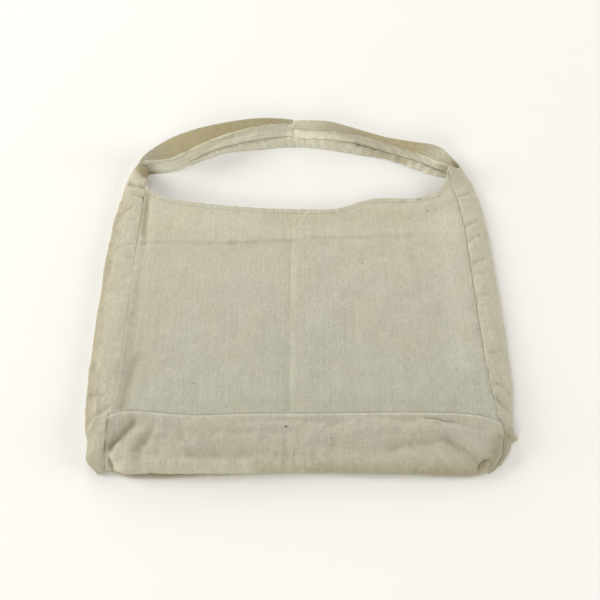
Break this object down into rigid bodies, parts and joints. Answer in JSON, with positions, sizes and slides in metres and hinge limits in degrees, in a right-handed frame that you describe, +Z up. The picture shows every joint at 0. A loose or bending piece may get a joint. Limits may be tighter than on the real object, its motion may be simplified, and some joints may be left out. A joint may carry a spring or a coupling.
{
  "type": "tote bag",
  "caption": "Soft cotton tote bag lying flat on its back, with folded side gussets that run on into one wide shoulder strap.",
  "frame": {"origin": "middle of the bag's footprint, on the floor that it lies on", "axes": "+X to the bag's right as its front faces up, +Y from the base towards the strap, +Z up out of the front panel"},
  "size_m": [0.448, 0.492, 0.0362],
  "materials": {
    "panel_cloth": "unbleached plain-weave cotton, matt",
    "base_cloth": "unbleached plain-weave cotton, matt",
    "band_cloth": "unbleached plain-weave cotton, matt"
  },
  "bodies": {
    "root": {"front_panel": "panel_cloth", "back_panel": "panel_cloth", "base_panel": "base_cloth", "left_side_band": "band_cloth", "right_side_band": "band_cloth"}
  },
  "joints": []
}
